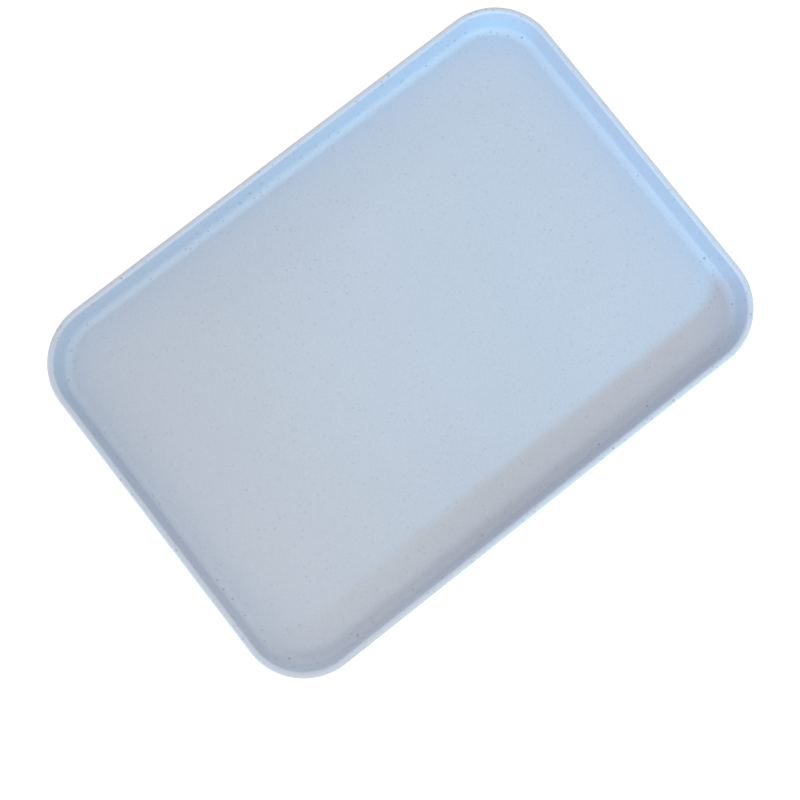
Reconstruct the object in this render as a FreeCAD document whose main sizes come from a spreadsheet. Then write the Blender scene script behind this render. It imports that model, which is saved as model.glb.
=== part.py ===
import FreeCAD, Part
import math
import os
import Sketcher

# Jigsaw puzzle sorting tray
#
# A shallow tray moulded in one piece from fibre-filled plastic. It stands on a low foot ring,
# with its length along X, its width along Y and the open side up. The origin is on the surface
# that it stands on, below the middle of the floor. All lengths are in millimetres and all
# angles in degrees.

# Driving dimensions: name, value and meaning of each size
SIZES = (
    ("tray_length", 305, "length over the rim"),
    ("tray_width", 218, "width over the rim"),
    ("tray_height", 18, "height from the foot to the top of the rim"),
    ("corner_radius", 33, "radius of the rim's outline at the corners"),
    ("rim_width", 3.2, "thickness of the wall at the rim"),
    ("rim_outer_rounding", 1.4, "radius of the rim's outer edge"),
    ("rim_inner_rounding", 1.5, "radius of the rim's inner edge"),
    ("inner_draft", 8, "lean of the wall's inner face from upright"),
    ("outer_draft", 8, "lean of the wall's outer face from upright"),
    ("cove_radius", 4.6, "radius of the cove between the wall and the floor"),
    ("floor_thickness", 2.2, "thickness of the floor"),
    ("foot_height", 0.8, "height of the foot ring below the floor"),
    ("foot_width", 2.6, "width of the foot ring"),
    ("foot_inset", 1.5, "distance of the foot ring from the edge of the flat underside"),
    ("foot_rounding", 0.3, "radius of the foot ring's lower edges"),
)

# Sizes that follow from the driving dimensions, as expressions
#
# The wall leans, so rounding the rim's outer edge takes the trim off its sharp outline. The
# heel below the wall runs parallel to the cove inside it.
RIM_TRIM = "(Sizes.rim_outer_rounding * (tan((90 + Sizes.outer_draft) / 2 * 1 deg) - 1))"
FLOOR_LEVEL = "(Sizes.foot_height + Sizes.floor_thickness)"
HEEL_RADIUS = "(Sizes.cove_radius + Sizes.floor_thickness)"
HEEL_RUN = f"({HEEL_RADIUS} * tan((90 - Sizes.outer_draft) / 2 * 1 deg))"
WALL_RUN = "((Sizes.tray_height - Sizes.foot_height) * tan(Sizes.outer_draft * 1 deg))"
FOOT_OFFSET = f"({WALL_RUN} + {HEEL_RUN} + Sizes.foot_inset - {RIM_TRIM})"

# Sketcher's numbers for a curve's points and for the sketch's origin
START, END, CENTRE = 1, 2, 3
ORIGIN = (-1, START)


def make_sheet(doc):
    """Write the driving dimensions into the document's sheet, one aliased cell each."""
    sheet = doc.addObject("Spreadsheet::Sheet", "Sizes")
    for row, (name, value, meaning) in enumerate(SIZES, 1):
        sheet.set(f"A{row}", meaning)
        sheet.set(f"B{row}", str(value))
        sheet.setAlias(f"B{row}", name)
    doc.recompute()


def level_sketch(body, name, level):
    """Add a level sketch to the body, at a height given as an expression."""
    plane = next(item for item in body.Origin.OriginFeatures if item.Role == "XY_Plane")
    sketch = body.newObject("Sketcher::SketchObject", name)
    sketch.AttachmentSupport = [(plane, "")]
    sketch.MapMode = "FlatFace"
    sketch.setExpression("AttachmentOffset.Base.z", level)
    return sketch


def add_outline(sketch, name, offset):
    """Draw the rim's outline, moved inwards by an offset that is given as an expression.

    The outline is a rectangle about the origin with its corners rounded by tangent arcs.
    """
    sizes = {
        "Length": f"Sizes.tray_length - 2 * {offset}",
        "Width": f"Sizes.tray_width - 2 * {offset}",
        "Radius": f"Sizes.corner_radius - {offset}",
    }
    length, width, radius = (float(sketch.evalExpression(text)) for text in sizes.values())

    # Corners, anticlockwise from the one at +X and -Y, and the side that follows each
    x, y = length / 2 - radius, width / 2 - radius
    corners = []
    for turn, centre in enumerate(((x, -y), (x, y), (-x, y), (-x, -y))):
        circle = Part.Circle(FreeCAD.Vector(*centre), FreeCAD.Vector(0, 0, 1), radius)
        start = (turn - 1) * math.pi / 2
        arc = Part.ArcOfCircle(circle, start, start + math.pi / 2)
        corners.append(sketch.addGeometry(arc, False))
    sides = []
    for corner, following in zip(corners, corners[1:] + corners[:1]):
        ends = sketch.getPoint(corner, END), sketch.getPoint(following, START)
        side = sketch.addGeometry(Part.LineSegment(*ends), False)
        sketch.addConstraint(Sketcher.Constraint("Tangent", corner, END, side, START))
        sketch.addConstraint(Sketcher.Constraint("Tangent", side, END, following, START))
        sides.append(side)

    right, top, left, bottom = sides
    for side in (right, left):
        sketch.addConstraint(Sketcher.Constraint("Vertical", side))
    for side in (top, bottom):
        sketch.addConstraint(Sketcher.Constraint("Horizontal", side))
    for corner in corners[1:]:
        sketch.addConstraint(Sketcher.Constraint("Equal", corners[0], corner))
    opposite = (corners[0], CENTRE, corners[2], CENTRE)
    sketch.addConstraint(Sketcher.Constraint("Symmetric", *opposite, *ORIGIN))

    driven = {
        "Length": Sketcher.Constraint("DistanceX", left, START, right, START, length),
        "Width": Sketcher.Constraint("DistanceY", bottom, START, top, START, width),
        "Radius": Sketcher.Constraint("Radius", corners[0], radius),
    }
    for size, constraint in driven.items():
        index = sketch.addConstraint(constraint)
        sketch.renameConstraint(index, name + size)
        sketch.setExpression(f"Constraints.{name}{size}", sizes[size])


def level_face(feature, level):
    """Return the feature's level face at a height given as an expression."""
    height = float(feature.evalExpression(level))
    tolerance = Part.Precision.confusion()
    return next(face for face in feature.Shape.Faces
                if isinstance(face.Surface, Part.Plane)
                and abs(face.BoundBox.ZMax - height) < tolerance
                and abs(face.BoundBox.ZMin - height) < tolerance)


def round_edges(body, name, edges, radius):
    """Round these edges of the body's last feature, by a radius given as an expression."""
    base = body.Tip
    names = [f"Edge{number}" for number, edge in enumerate(base.Shape.Edges, 1)
             if any(edge.isSame(chosen) for chosen in edges)]
    fillet = body.newObject("PartDesign::Fillet", name)
    fillet.Base = (base, names)
    fillet.setExpression("Radius", radius)
    body.Document.recompute()


def make_tray(doc):
    """Model the tray: outer form, cavity, rim and foot ring."""
    body = doc.addObject("PartDesign::Body", "Tray")
    body.Label = "tray"
    body.Placement = FreeCAD.Placement()

    # Outer form: from the rim's sharp outline down to the underside, leaning inwards
    outline = level_sketch(body, "RimOutline", "Sizes.tray_height")
    add_outline(outline, "Rim", f"(-{RIM_TRIM})")
    form = body.newObject("PartDesign::Pad", "OuterForm")
    form.Profile = outline
    form.Reversed = True
    form.setExpression("Length", "Sizes.tray_height - Sizes.foot_height")
    form.setExpression("TaperAngle", "-Sizes.outer_draft")
    doc.recompute()
    underside = level_face(form, "Sizes.foot_height")
    round_edges(body, "Heel", underside.Edges, HEEL_RADIUS)

    # Cavity: from the mouth inside the rim down to the floor, leaning inwards
    mouth = level_sketch(body, "MouthOutline", "Sizes.tray_height")
    add_outline(mouth, "Mouth", "Sizes.rim_width")
    solid_volume = body.Shape.Volume
    cavity = body.newObject("PartDesign::Pocket", "Cavity")
    cavity.Profile = mouth
    cavity.setExpression("Length", f"Sizes.tray_height - {FLOOR_LEVEL}")
    cavity.setExpression("TaperAngle", "-Sizes.inner_draft")
    doc.recompute()
    if cavity.Shape.Volume >= solid_volume:
        raise RuntimeError("the cavity cuts nothing")
    floor = level_face(cavity, FLOOR_LEVEL)
    round_edges(body, "Cove", floor.Edges, "Sizes.cove_radius")

    # Rim: a narrow flat between two rounded edges
    rim = level_face(body.Tip, "Sizes.tray_height")
    round_edges(body, "RimOuterEdge", rim.OuterWire.Edges, "Sizes.rim_outer_rounding")
    rim = level_face(body.Tip, "Sizes.tray_height")
    inner_wire = min(rim.Wires, key=lambda wire: wire.Length)
    round_edges(body, "RimInnerEdge", inner_wire.Edges, "Sizes.rim_inner_rounding")

    # Foot ring: a low rib below the floor that follows the tray's outline
    ring = level_sketch(body, "FootOutline", "0")
    add_outline(ring, "Outer", FOOT_OFFSET)
    add_outline(ring, "Inner", f"({FOOT_OFFSET} + Sizes.foot_width)")
    foot = body.newObject("PartDesign::Pad", "FootRing")
    foot.Profile = ring
    foot.setExpression("Length", "Sizes.foot_height")
    doc.recompute()
    round_edges(body, "FootEdges", level_face(foot, "0").Edges, "Sizes.foot_rounding")
    return body


def check(doc, bodies):
    """Stop if a feature failed or a sub-part isn't one sound solid."""
    for item in doc.Objects:
        if "Invalid" in item.State or "Error" in item.State:
            raise RuntimeError(f"{item.Name} failed: {item.State}")
    for body in bodies:
        if body.Shape.isNull() or not body.Shape.isValid() or len(body.Shape.Solids) != 1:
            raise RuntimeError(f"{body.Label} isn't one sound solid")


def main():
    doc = FreeCAD.newDocument("SortingTray")
    make_sheet(doc)
    bodies = [make_tray(doc)]
    doc.recompute()
    check(doc, bodies)
    os.makedirs("parts", exist_ok=True)
    for body in bodies:
        body.Shape.exportStep(os.path.join("parts", f"{body.Label}.step"))
        box = body.Shape.optimalBoundingBox()
        print(f"{body.Label}: {box.XLength:.2f} x {box.YLength:.2f} x {box.ZLength:.2f} mm")


main()
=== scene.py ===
# %% [markdown]
# # A shallow tray moulded in one piece
#
# The object is a flat rectangular tray with round corners and a low wall, pressed from plastic
# that has plant fibre mixed into it. It has no loose or moving part, so the whole lesson is about
# one form and one finish: a fair rim, a soft cove where the wall turns into the floor, and a
# satin blue that is never quite even.
#
# The measured model comes first.

# %% Load the measured model
import math

import bmesh
import bpy
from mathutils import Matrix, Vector


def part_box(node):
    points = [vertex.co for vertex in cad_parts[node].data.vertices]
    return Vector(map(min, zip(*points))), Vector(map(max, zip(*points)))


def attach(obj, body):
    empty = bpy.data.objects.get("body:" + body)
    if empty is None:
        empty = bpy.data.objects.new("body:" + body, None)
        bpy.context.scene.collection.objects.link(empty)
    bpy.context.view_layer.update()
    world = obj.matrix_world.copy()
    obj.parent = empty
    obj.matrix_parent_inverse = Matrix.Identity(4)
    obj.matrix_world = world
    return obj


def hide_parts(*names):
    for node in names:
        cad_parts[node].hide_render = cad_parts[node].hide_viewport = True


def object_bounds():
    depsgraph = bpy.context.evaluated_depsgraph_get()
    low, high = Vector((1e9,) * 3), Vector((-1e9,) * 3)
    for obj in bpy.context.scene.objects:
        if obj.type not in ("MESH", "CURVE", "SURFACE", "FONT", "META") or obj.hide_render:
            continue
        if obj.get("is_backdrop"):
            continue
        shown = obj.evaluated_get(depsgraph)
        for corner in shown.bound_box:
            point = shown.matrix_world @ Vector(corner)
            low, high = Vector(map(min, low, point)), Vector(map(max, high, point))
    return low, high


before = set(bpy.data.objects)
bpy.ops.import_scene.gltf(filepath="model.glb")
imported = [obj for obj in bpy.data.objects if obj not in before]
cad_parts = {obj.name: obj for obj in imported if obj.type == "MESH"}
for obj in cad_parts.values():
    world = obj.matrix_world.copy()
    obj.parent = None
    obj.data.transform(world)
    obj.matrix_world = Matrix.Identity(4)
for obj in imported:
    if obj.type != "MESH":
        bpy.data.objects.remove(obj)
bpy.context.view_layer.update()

MM = 0.001
scene = bpy.context.scene
low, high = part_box("tray")
size_mm = [(b - a) / MM for a, b in zip(low, high)]
print("measured tray: {:.1f} x {:.1f} x {:.1f} mm".format(*size_mm))

# %% [markdown]
# ## The camera
#
# The tray is seen from almost straight above, with its length running to the upper right. The
# place and turn of the camera were worked out from the rim: four straight sides and four round
# corners of a known shape leave only one camera that sees them so. A lens of about 50 mm gives
# the slight narrowing from the rim down to the floor. Depth of field stays off, so that every
# edge is sharp.

# %% Camera
CAMERA_PLACE = (-0.05091, -0.05707, 0.55374)
CAMERA_TURN = (4.679, -0.421, -38.051)
LENS = 49.5

camera_data = bpy.data.cameras.new("view_camera")
camera_data.sensor_width = 36.0
camera_data.lens = LENS
camera_data.clip_start = 0.01
camera_data.clip_end = 30.0
camera = bpy.data.objects.new("view_camera", camera_data)
camera.location = CAMERA_PLACE
camera.rotation_euler = [math.radians(angle) for angle in CAMERA_TURN]
scene.collection.objects.link(camera)
scene.camera = camera
print("camera is {:.0f} mm above the table".format(CAMERA_PLACE[2] / MM))

# %% [markdown]
# ## The section of the wall
#
# Cut the tray across one side and the same shape shows everywhere: floor, cove, leaning wall,
# rounded rim, outer wall, heel, and the low foot ring that it stands on. A moulder needs the lean
# to pull the tray off its tool, and the roundings because plastic doesn't fill sharp corners
# well.
#
# This could be done with a box, an inset and a few bevels, but then each rounding depends on the
# one before it. Here the section is written down once as straight runs and arcs, in millimetres:
# how far a point lies inwards from the rim's outermost line, and how high it is above the table.

# %% Sizes of the section
HEIGHT = 18.0
FLOOR_THICKNESS = 2.2
FOOT_HEIGHT = 0.8
FOOT_WIDTH = 2.6
FOOT_INSET = 1.5
FOOT_ROUNDING = 0.3
RIM_WIDTH = 3.2
RIM_OUTER = 1.4
RIM_INNER = 1.5
COVE = 4.6
INNER_LEAN = 8.0
OUTER_LEAN = 8.0

# Flat edge left around the floor's and the underside's grid, so that they stay flat when smoothed
GRID_MARGIN = 0.6

FLOOR_LEVEL = FOOT_HEIGHT + FLOOR_THICKNESS
HEEL = COVE + FLOOR_THICKNESS


def arc(centre, radius, start, end, steps):
    """Points along an arc, with its angles in degrees."""
    points = []
    for step in range(steps + 1):
        angle = math.radians(start + (end - start) * step / steps)
        inwards = centre[0] + radius * math.cos(angle)
        height = centre[1] + radius * math.sin(angle)
        points.append((inwards, height))
    return points


def run(start, end, steps):
    """Points inside a straight run, drawn together towards its two ends."""
    points = []
    for step in range(1, steps):
        share = 0.5 - 0.5 * math.cos(math.pi * step / steps)
        points.append(tuple(a + (b - a) * share for a, b in zip(start, end)))
    return points


# %% Draw the section
inner_lean = math.radians(INNER_LEAN)
outer_lean = math.radians(OUTER_LEAN)

cove_height = FLOOR_LEVEL + COVE
cove_inwards = (
    RIM_WIDTH
    + (HEIGHT - cove_height) * math.tan(inner_lean)
    + COVE / math.cos(inner_lean)
)
cove = arc((cove_inwards, cove_height), COVE, 270, 180 + INNER_LEAN, 16)

inner_centre = (
    RIM_WIDTH + RIM_INNER * math.tan(inner_lean) - RIM_INNER / math.cos(inner_lean),
    HEIGHT - RIM_INNER,
)
rim_inner = arc(inner_centre, RIM_INNER, INNER_LEAN, 90, 10)
rim_outer = arc((RIM_OUTER, HEIGHT - RIM_OUTER), RIM_OUTER, 90, 180 + OUTER_LEAN, 12)

heel_height = FOOT_HEIGHT + HEEL
wall_end = rim_outer[-1]
heel_inwards = (
    wall_end[0]
    + (wall_end[1] - heel_height) * math.tan(outer_lean)
    + HEEL / math.cos(outer_lean)
)
heel = arc((heel_inwards, heel_height), HEEL, 180 + OUTER_LEAN, 270, 14)

foot_start = heel_inwards + FOOT_INSET
foot_end = foot_start + FOOT_WIDTH
foot_outer = arc((foot_start + FOOT_ROUNDING, FOOT_ROUNDING), FOOT_ROUNDING, 180, 270, 4)
foot_inner = arc((foot_end - FOOT_ROUNDING, FOOT_ROUNDING), FOOT_ROUNDING, 270, 360, 4)

section = [(cove[0][0] + GRID_MARGIN, FLOOR_LEVEL)]
section += cove + run(cove[-1], rim_inner[0], 6)
section += rim_inner + run(rim_inner[-1], rim_outer[0], 2)
section += rim_outer + run(rim_outer[-1], heel[0], 6)
section += heel + run(heel[-1], (foot_start, FOOT_HEIGHT), 3)
section += [(foot_start, FOOT_HEIGHT)] + foot_outer
section += run(foot_outer[-1], foot_inner[0], 3) + foot_inner
section += [(foot_end, FOOT_HEIGHT), (foot_end + GRID_MARGIN, FOOT_HEIGHT)]
print("the section has", len(section), "points; the floor starts",
      "{:.2f} mm inside the rim's outer line".format(cove_inwards))

# %% [markdown]
# ## The outline seen from above
#
# From above the rim is a rectangle with four equal round corners. The section is carried round
# it, always square to the edge. Every ring of the mesh shares the same four corner centres, so
# the roundings stay parallel, as they do on the real tool.
#
# The outline is cut at the middle of each corner. That gives four sides of half a corner, a
# straight run and half a corner, and opposite sides have the same number of steps, so the floor
# and the underside can be closed with a plain grid of four-sided faces.

# %% Walk round the outline
LENGTH = 305.0
WIDTH = 218.0
CORNER = 33.0
CORNER_STEPS = 14
LONG_STEPS = 44
SHORT_STEPS = 28

corner_x = LENGTH / 2 - CORNER
corner_y = WIDTH / 2 - CORNER


def side_stations(start, end, facing, steps):
    """One side of the outline, as a corner centre and the angle that the edge faces."""
    stations = []
    for step in range(CORNER_STEPS):
        stations.append((start, facing - 45 + 45 * step / CORNER_STEPS))
    for step in range(steps):
        share = step / steps
        stations.append((tuple(a + (b - a) * share for a, b in zip(start, end)), facing))
    for step in range(CORNER_STEPS):
        stations.append((end, facing + 45 * step / CORNER_STEPS))
    return stations


corner_centres = [
    (-corner_x, -corner_y),
    (corner_x, -corner_y),
    (corner_x, corner_y),
    (-corner_x, corner_y),
]
side_steps = [LONG_STEPS, SHORT_STEPS, LONG_STEPS, SHORT_STEPS]
outline = []
for side in range(4):
    start, end = corner_centres[side], corner_centres[(side + 1) % 4]
    outline += side_stations(start, end, 270 + 90 * side, side_steps[side])
print("the outline has", len(outline), "stations")


# %% [markdown]
# ## From section and outline to a closed mesh
#
# `bmesh` takes the points directly, which keeps full control over where each edge loop lies:
# close together over the small roundings and wide apart on the flat wall. The two openings, the
# floor and the underside, are filled with a grid whose inner points are blended from the four
# sides. A single many-sided face would be flat as well, but it leaves long thin triangles when
# the part is exported.

# %% Build the shell
def ring_point(station, inwards, height):
    """Place one point of the section at one station of the outline, in metres."""
    (x, y), facing = station
    reach = CORNER - inwards
    angle = math.radians(facing)
    return Vector((x + reach * math.cos(angle), y + reach * math.sin(angle), height)) * MM


def grid_fill(mesh, ring, columns, rows):
    """Close a ring of vertices with a grid that blends its four sides."""
    count = len(ring)
    bottom = [ring[i] for i in range(columns + 1)]
    right = [ring[columns + j] for j in range(rows + 1)]
    top = [ring[(2 * columns + rows - i) % count] for i in range(columns + 1)]
    left = [ring[(2 * columns + 2 * rows - j) % count] for j in range(rows + 1)]
    grid = {}
    for i in range(columns + 1):
        for j in range(rows + 1):
            if j == 0:
                grid[i, j] = bottom[i]
            elif j == rows:
                grid[i, j] = top[i]
            elif i == 0:
                grid[i, j] = left[j]
            elif i == columns:
                grid[i, j] = right[j]
            else:
                s, t = i / columns, j / rows
                across = left[j].co * (1 - s) + right[j].co * s
                along = bottom[i].co * (1 - t) + top[i].co * t
                near = bottom[0].co * (1 - s) + bottom[-1].co * s
                far = top[0].co * (1 - s) + top[-1].co * s
                corners = near * (1 - t) + far * t
                grid[i, j] = mesh.verts.new(across + along - corners)
    for i in range(columns):
        for j in range(rows):
            mesh.faces.new((grid[i, j], grid[i + 1, j], grid[i + 1, j + 1], grid[i, j + 1]))


def build_shell(name):
    """Carry the section round the outline and close the floor and the underside."""
    mesh = bmesh.new()
    rings = []
    for inwards, height in section:
        rings.append([mesh.verts.new(ring_point(s, inwards, height)) for s in outline])
    count = len(outline)
    for inner, outer in zip(rings, rings[1:]):
        for i in range(count):
            k = (i + 1) % count
            mesh.faces.new((inner[i], inner[k], outer[k], outer[i]))
    columns = LONG_STEPS + 2 * CORNER_STEPS
    rows = SHORT_STEPS + 2 * CORNER_STEPS
    grid_fill(mesh, rings[0], columns, rows)
    grid_fill(mesh, rings[-1], columns, rows)
    bmesh.ops.recalc_face_normals(mesh, faces=mesh.faces)
    data = bpy.data.meshes.new(name)
    mesh.to_mesh(data)
    mesh.free()
    data.shade_smooth()
    data.set_sharp_from_angle(angle=math.radians(40))
    shell = bpy.data.objects.new(name, data)
    scene.collection.objects.link(shell)
    return shell


tray_shell = build_shell("tray_shell")
print("tray_shell has", len(tray_shell.data.polygons), "four-sided faces")

# %% [markdown]
# ## Shared effects for the finish
#
# Four effects make a moulded surface look real, and each is a node group, so that it can be
# placed in any material with its own values. A group puts out only masks, values and heights. The
# shader itself stays in the material.
#
# The fine grain is what the polished and slightly etched tool leaves: a soft orange peel with a
# finer tooth on top. It could be a painted bump map, but noise in the object's own space needs no
# unwrapping and is the same size on floor, cove and rim.

# %% Helper for node groups
def new_group(name, inputs, outputs):
    """Make a shader node group with named sockets and return its tree, input and output."""
    tree = bpy.data.node_groups.new(name, "ShaderNodeTree")
    for label, kind, value in inputs:
        socket = tree.interface.new_socket(label, in_out="INPUT", socket_type=kind)
        if value is not None:
            socket.default_value = value
    for label, kind in outputs:
        tree.interface.new_socket(label, in_out="OUTPUT", socket_type=kind)
    entry = tree.nodes.new("NodeGroupInput")
    leave = tree.nodes.new("NodeGroupOutput")
    return tree, entry, leave


def maths(tree, operation, first, second, clamp=False):
    """Add one maths node. Each of its two inputs is a number or another node's socket."""
    node = tree.nodes.new("ShaderNodeMath")
    node.operation = operation
    node.use_clamp = clamp
    for socket, value in zip(node.inputs, (first, second)):
        if isinstance(value, (int, float)):
            socket.default_value = value
        else:
            tree.links.new(value, socket)
    return node.outputs[0]


# %% Fine moulded grain
def make_grain_group():
    """Height of a soft orange peel with a finer tooth on it."""
    tree, entry, leave = new_group(
        "fine_moulded_grain",
        [
            ("Position", "NodeSocketVector", None),
            ("Peel Scale", "NodeSocketFloat", 600.0),
            ("Tooth Scale", "NodeSocketFloat", 2200.0),
            ("Tooth Share", "NodeSocketFloat", 0.4),
        ],
        [("Height", "NodeSocketFloat")],
    )
    heights = []
    for scale_name, detail in (("Peel Scale", 2.0), ("Tooth Scale", 1.0)):
        noise = tree.nodes.new("ShaderNodeTexNoise")
        noise.inputs["Detail"].default_value = detail
        noise.inputs["Roughness"].default_value = 0.5
        tree.links.new(entry.outputs["Position"], noise.inputs["Vector"])
        tree.links.new(entry.outputs[scale_name], noise.inputs["Scale"])
        heights.append(noise.outputs["Fac"])
    tooth = maths(tree, "MULTIPLY", heights[1], entry.outputs["Tooth Share"])
    total = maths(tree, "ADD", heights[0], tooth)
    tree.links.new(total, leave.inputs["Height"])
    return tree


grain_group = make_grain_group()
print("group", grain_group.name, "is ready")

# %% [markdown]
# The colour of a filled plastic drifts a little as it flows into the tool, and the fibres leave
# patches a shade lighter or darker. The cloud group adds three noises, a wide, a narrow and a
# very fine one, into one value around 1, by which the colour is multiplied. The fine one is the
# dry, paper-like mottle that shows from close by.

# %% Cloudy tone
def make_cloud_group():
    """A value around 1 that drifts slowly over the surface."""
    tree, entry, leave = new_group(
        "cloudy_tone",
        [
            ("Position", "NodeSocketVector", None),
            ("Wide Scale", "NodeSocketFloat", 18.0),
            ("Narrow Scale", "NodeSocketFloat", 260.0),
            ("Fine Scale", "NodeSocketFloat", 950.0),
            ("Wide Strength", "NodeSocketFloat", 0.05),
            ("Narrow Strength", "NodeSocketFloat", 0.028),
            ("Fine Strength", "NodeSocketFloat", 0.22),
        ],
        [("Tone", "NodeSocketFloat")],
    )
    total = 1.0
    for name in ("Wide", "Narrow", "Fine"):
        noise = tree.nodes.new("ShaderNodeTexNoise")
        noise.inputs["Detail"].default_value = 3.0
        noise.inputs["Roughness"].default_value = 0.55
        tree.links.new(entry.outputs["Position"], noise.inputs["Vector"])
        tree.links.new(entry.outputs[name + " Scale"], noise.inputs["Scale"])
        centred = maths(tree, "SUBTRACT", noise.outputs["Fac"], 0.5)
        drift = maths(tree, "MULTIPLY", centred, entry.outputs[name + " Strength"])
        total = maths(tree, "ADD", total, drift)
    tree.links.new(total, leave.inputs["Tone"])
    return tree


cloud_group = make_cloud_group()
print("group", cloud_group.name, "is ready")

# %% [markdown]
# Where a fibre ends at the surface it shows as a tiny dark fleck, under a millimetre across. A
# plain noise would give spots that all look alike. The fleck group divides space into cells with
# a Voronoi texture, gives each cell numbers of its own, and lets a dot show only in the cells
# whose first number is high. A second number sets the dot's size and a third how dark it is:
# most flecks are faint and only a few are plain to see. The position is shifted by a little noise
# first, so that no dot is a perfect disc.

# %% Fibre flecks
FLECK_WOBBLE_SCALE = 1500.0
FLECK_WOBBLE = 0.6 * MM
FLECK_SOFTNESS = 0.07
FLECK_FADE = 2.0


def make_fleck_group():
    """A mask of sparse small dots, from faint ones up to a few that reach 1."""
    tree, entry, leave = new_group(
        "fibre_flecks",
        [
            ("Position", "NodeSocketVector", None),
            ("Cells per Metre", "NodeSocketFloat", 420.0),
            ("Share of Cells", "NodeSocketFloat", 0.5),
            ("Dot Size", "NodeSocketFloat", 0.18),
        ],
        [("Mask", "NodeSocketFloat")],
    )
    wobble = tree.nodes.new("ShaderNodeTexNoise")
    wobble.inputs["Scale"].default_value = FLECK_WOBBLE_SCALE
    tree.links.new(entry.outputs["Position"], wobble.inputs["Vector"])
    shift = tree.nodes.new("ShaderNodeVectorMath")
    shift.operation = "MULTIPLY_ADD"
    shift.inputs[1].default_value = (FLECK_WOBBLE, FLECK_WOBBLE, FLECK_WOBBLE)
    tree.links.new(wobble.outputs["Color"], shift.inputs[0])
    tree.links.new(entry.outputs["Position"], shift.inputs[2])
    cells = tree.nodes.new("ShaderNodeTexVoronoi")
    tree.links.new(shift.outputs["Vector"], cells.inputs["Vector"])
    tree.links.new(entry.outputs["Cells per Metre"], cells.inputs["Scale"])
    number = tree.nodes.new("ShaderNodeSeparateColor")
    tree.links.new(cells.outputs["Color"], number.inputs["Color"])
    limit = maths(tree, "SUBTRACT", 1.0, entry.outputs["Share of Cells"])
    chosen = maths(tree, "GREATER_THAN", number.outputs["Red"], limit)
    grown = maths(tree, "MULTIPLY", number.outputs["Green"], entry.outputs["Dot Size"])
    size = maths(tree, "ADD", grown, entry.outputs["Dot Size"])
    room = maths(tree, "SUBTRACT", size, cells.outputs["Distance"])
    edge = maths(tree, "DIVIDE", room, FLECK_SOFTNESS, clamp=True)
    depth = maths(tree, "POWER", number.outputs["Blue"], FLECK_FADE)
    faint = maths(tree, "MULTIPLY", edge, depth)
    mask = maths(tree, "MULTIPLY", faint, chosen)
    tree.links.new(mask, leave.inputs["Mask"])
    return tree


fleck_group = make_fleck_group()
print("group", fleck_group.name, "is ready")

# %% [markdown]
# Trays are stacked on their rims and lifted by them, so the top of the rim is rubbed a little
# smoother than the rest. Its colour is also made a little lighter there, as a painted highlight.
# The group finds the rim top by height alone: it fades in over the last millimetre below the top,
# and a slow noise breaks it up, because no rim wears evenly.

# %% Rubbed rim and painted highlight
def make_rim_rub_and_highlight_group():
    """A mask that is 0 below one height, about 1 above another, and uneven between."""
    tree, entry, leave = new_group(
        "rim_rub_and_highlight",
        [
            ("Position", "NodeSocketVector", None),
            ("From Height", "NodeSocketFloat", 0.0166),
            ("To Height", "NodeSocketFloat", 0.0178),
            ("Patch Scale", "NodeSocketFloat", 60.0),
        ],
        [("Mask", "NodeSocketFloat")],
    )
    split = tree.nodes.new("ShaderNodeSeparateXYZ")
    tree.links.new(entry.outputs["Position"], split.inputs["Vector"])
    above = maths(tree, "SUBTRACT", split.outputs["Z"], entry.outputs["From Height"])
    span = maths(tree, "SUBTRACT", entry.outputs["To Height"], entry.outputs["From Height"])
    fade = maths(tree, "DIVIDE", above, span, clamp=True)
    noise = tree.nodes.new("ShaderNodeTexNoise")
    tree.links.new(entry.outputs["Position"], noise.inputs["Vector"])
    tree.links.new(entry.outputs["Patch Scale"], noise.inputs["Scale"])
    uneven = maths(tree, "ADD", noise.outputs["Fac"], 0.5)
    # this mask drives both the rim's smoother wear and its painted highlight
    mask = maths(tree, "MULTIPLY", fade, uneven)
    tree.links.new(mask, leave.inputs["Mask"])
    return tree


rim_rub_and_highlight_group = make_rim_rub_and_highlight_group()
print("group", rim_rub_and_highlight_group.name, "is ready")

# %% [markdown]
# ## The blue plastic
#
# The base is a calm, slightly greyed blue. The gloss is satin: light spreads widely, so the
# roughness is fairly high, and it varies with the clouds. The rim is rubbed a little smoother,
# because trays are stacked on it and lifted by it, and its top carries a painted highlight: its
# colour is made a little lighter. All of this is fed into one Principled shader, and whatever is
# the same everywhere is set on its own sockets.

# %% Material of the tray
PLASTIC_BLUE = (0.455, 0.565, 0.72)
FLECK_GREY = (0.28, 0.337, 0.415)
ROUGHNESS = 0.46
# colour lift on the rim top: a painted highlight
PAINTED_RIM_HIGHLIGHT = 0.07
RUB_SMOOTHER = 0.1
GRAIN_STRENGTH = 0.35
GRAIN_DEPTH = 0.00006
REFRACTION = 1.47


def place_group(tree, group, position, **values):
    """Place a node group, feed it a position and set its other inputs."""
    node = tree.nodes.new("ShaderNodeGroup")
    node.node_tree = group
    node.label = group.name
    tree.links.new(position, node.inputs["Position"])
    for name, value in values.items():
        node.inputs[name.replace("_", " ")].default_value = value
    return node


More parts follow.
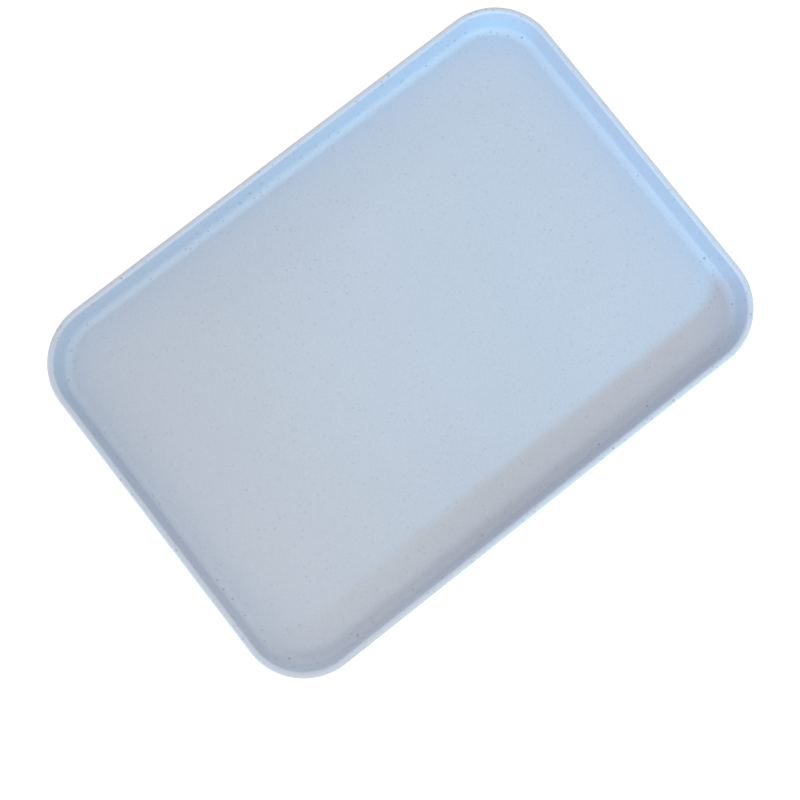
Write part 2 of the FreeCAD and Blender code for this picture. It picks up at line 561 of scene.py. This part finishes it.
def make_plastic():
    """Satin blue plastic with grain, clouds, flecks, a rubbed rim and a painted highlight on the
    rim top.
    """
    material = bpy.data.materials.new("satin_blue_plastic")
    material.use_nodes = True
    tree = material.node_tree
    links = tree.links
    shader = tree.nodes["Principled BSDF"]
    place = tree.nodes.new("ShaderNodeTexCoord").outputs["Object"]

    cloud = place_group(tree, cloud_group, place, Wide_Strength=0.05, Fine_Strength=0.22)
    rim_top_mask = place_group(tree, rim_rub_and_highlight_group, place, From_Height=0.0166, To_Height=0.0178)
    # painted highlight: the rim top's colour is made lighter
    painted_rim_highlight = maths(tree, "MULTIPLY", rim_top_mask.outputs["Mask"], PAINTED_RIM_HIGHLIGHT)
    level = maths(tree, "ADD", cloud.outputs["Tone"], painted_rim_highlight)
    tone = tree.nodes.new("ShaderNodeVectorMath")
    tone.operation = "SCALE"
    tone.inputs[0].default_value = PLASTIC_BLUE
    links.new(level, tone.inputs["Scale"])

    flecks = place_group(tree, fleck_group, place, Share_of_Cells=0.5, Dot_Size=0.18)
    fleck_mix = tree.nodes.new("ShaderNodeMix")
    fleck_mix.data_type = "RGBA"
    fleck_mix.inputs["B"].default_value = (*FLECK_GREY, 1.0)
    links.new(tone.outputs["Vector"], fleck_mix.inputs["A"])
    links.new(flecks.outputs["Mask"], fleck_mix.inputs["Factor"])
    links.new(fleck_mix.outputs["Result"], shader.inputs["Base Color"])

    drift = maths(tree, "SUBTRACT", cloud.outputs["Tone"], 1.0)
    roughness = maths(tree, "ADD", drift, ROUGHNESS)
    smoother = maths(tree, "MULTIPLY", rim_top_mask.outputs["Mask"], RUB_SMOOTHER)
    roughness = maths(tree, "SUBTRACT", roughness, smoother)
    links.new(roughness, shader.inputs["Roughness"])

    grain = place_group(tree, grain_group, place, Peel_Scale=600.0, Tooth_Scale=2200.0)
    bump = tree.nodes.new("ShaderNodeBump")
    bump.inputs["Strength"].default_value = GRAIN_STRENGTH
    bump.inputs["Distance"].default_value = GRAIN_DEPTH
    links.new(grain.outputs["Height"], bump.inputs["Height"])
    links.new(bump.outputs["Normal"], shader.inputs["Normal"])

    shader.inputs["IOR"].default_value = REFRACTION
    return material


plastic = make_plastic()
tray_shell.data.materials.append(plastic)
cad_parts["tray"].data.materials.clear()
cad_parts["tray"].data.materials.append(plastic)
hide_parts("tray")
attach(tray_shell, "root")
print("tray_shell stands for the node tray and rides on root")

# %% [markdown]
# ## Table and light
#
# The tray stands on a plain white table. The camera sees the lit table as white, and the shadow
# under the rim stays. For that a little glow is added, but only where the table is seen, straight,
# in a gloss or through glass. It gives no soft light of its own to the tray. The room is shown as
# white in the same way.
#
# Most of the light is soft. It comes from the whole room and is a little warm, and one large soft
# light above gives it a direction. Two cool lights low down stand for windows. The wall that
# faces them turns a clear blue and the wall that faces away stays grey, and this is what shows
# how low the wall is and how round its foot. The last two are small and narrow: each one lifts a
# single corner that would be too dark without it. They are kept out of the gloss, so that they
# leave no bright patch on the floor when the tray is seen from the other side.

# %% Table
TABLE_REACH = 12.0
TABLE_GLOW = 0.5


def seen_rays(tree):
    """1 for rays that show a surface to the camera, straight, in a gloss or through glass."""
    path = tree.nodes.new("ShaderNodeLightPath")
    seen = maths(tree, "MAXIMUM", path.outputs["Is Camera Ray"], path.outputs["Is Glossy Ray"])
    return maths(tree, "MAXIMUM", seen, path.outputs["Is Transmission Ray"])


def make_table():
    """A wide white surface that shows white where it is lit and keeps the shadow."""
    data = bpy.data.meshes.new("table")
    signs = [(-1, -1), (1, -1), (1, 1), (-1, 1)]
    corners = [(x * TABLE_REACH, y * TABLE_REACH, 0) for x, y in signs]
    data.from_pydata(corners, [], [(0, 1, 2, 3)])
    table = bpy.data.objects.new("table", data)
    scene.collection.objects.link(table)

    material = bpy.data.materials.new("white_table")
    material.use_nodes = True
    tree = material.node_tree
    shader = tree.nodes["Principled BSDF"]
    shader.inputs["Base Color"].default_value = (0.8, 0.8, 0.8, 1.0)
    shader.inputs["Roughness"].default_value = 0.9
    shader.inputs["Emission Color"].default_value = (1.0, 1.0, 1.0, 1.0)
    glow = maths(tree, "MULTIPLY", seen_rays(tree), TABLE_GLOW)
    tree.links.new(glow, shader.inputs["Emission Strength"])
    data.materials.append(material)
    table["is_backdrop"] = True
    return table


table = make_table()
print("the table reaches", TABLE_REACH, "m each way")

# %% Lamps
LAMPS = {
    "soft_top": {
        "place": (-0.274, -0.752, 1.386),
        "aim": (0.0, 0.0, 0.0),
        "size": (0.5, 0.5),
        "spread": 180,
        "colour": (1.0, 1.0, 0.84),
        "power": 4.4,
    },
    "window": {
        "place": (-0.03, -1.183, 0.679),
        "aim": (0.14, 0.03, 0.0),
        "size": (0.3, 0.12),
        "spread": 22,
        "colour": (0.23, 0.73, 1.0),
        "power": 0.171,
    },
    "low_window": {
        "place": (-1.595, 0.0, 0.1255),
        "aim": (0.0, 0.0, 0.0),
        "size": (0.6, 0.08),
        "spread": 180,
        "colour": (0.41, 0.74, 1.0),
        "power": 9.2,
    },
    "near_corner": {
        "place": (0.973, 1.010, 0.387),
        "aim": (-0.125, -0.088, 0.0),
        "size": (0.1, 0.1),
        "spread": 5,
        "colour": (1.0, 0.94, 0.71),
        "power": 0.0063,
    },
    "left_corner": {
        "place": (0.982, -1.025, 0.250),
        "aim": (-0.135, 0.092, 0.0),
        "size": (0.1, 0.06),
        "spread": 5,
        "colour": (0.3, 0.93, 1.0),
        "power": 0.0028,
    },
}


def add_lamp(name, place, aim, size, spread, colour, power):
    """Add a rectangular soft light that faces a point on the tray."""
    data = bpy.data.lights.new(name, "AREA")
    data.shape = "RECTANGLE"
    data.size, data.size_y = size
    data.spread = math.radians(spread)
    data.color = colour
    data.energy = power
    lamp = bpy.data.objects.new(name, data)
    lamp.location = place
    lamp.rotation_euler = (Vector(aim) - Vector(place)).to_track_quat("-Z", "Y").to_euler()
    scene.collection.objects.link(lamp)
    return lamp


lamps = {name: add_lamp(name, **values) for name, values in LAMPS.items()}
for name in ("near_corner", "left_corner"):
    lamps[name].visible_glossy = False

print("lamps:", ", ".join(lamps))

# %% World
ROOM_LIGHT = (1.0, 0.832, 0.73, 1.0)
ROOM_STRENGTH = 0.89


def make_world():
    """A room that lights softly and a little warm, and is seen as plain white."""
    world = bpy.data.worlds.new("plain_room")
    world.use_nodes = True
    tree = world.node_tree
    room = tree.nodes["Background"]
    room.inputs["Color"].default_value = ROOM_LIGHT
    room.inputs["Strength"].default_value = ROOM_STRENGTH
    backdrop = tree.nodes.new("ShaderNodeBackground")
    backdrop.inputs["Color"].default_value = (1.0, 1.0, 1.0, 1.0)
    backdrop.inputs["Strength"].default_value = 1.0
    choice = tree.nodes.new("ShaderNodeMixShader")
    tree.links.new(seen_rays(tree), choice.inputs["Fac"])
    tree.links.new(room.outputs["Background"], choice.inputs[1])
    tree.links.new(backdrop.outputs["Background"], choice.inputs[2])
    tree.links.new(choice.outputs["Shader"], tree.nodes["World Output"].inputs["Surface"])
    return world


scene.world = make_world()
print("the room lights at", ROOM_STRENGTH, "and is seen as white")

# %% [markdown]
# ## Colour management and hand-over
#
# The Standard view shows colours as they are written. The last lines print the box of what is
# shown, to set beside the measured box printed at the start.

# %% Finish
scene.view_settings.view_transform = "Standard"

shown_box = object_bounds()
shown_mm = [(b - a) / MM for a, b in zip(*shown_box)]
print("shown: {:.1f} x {:.1f} x {:.1f} mm".format(*shown_mm))
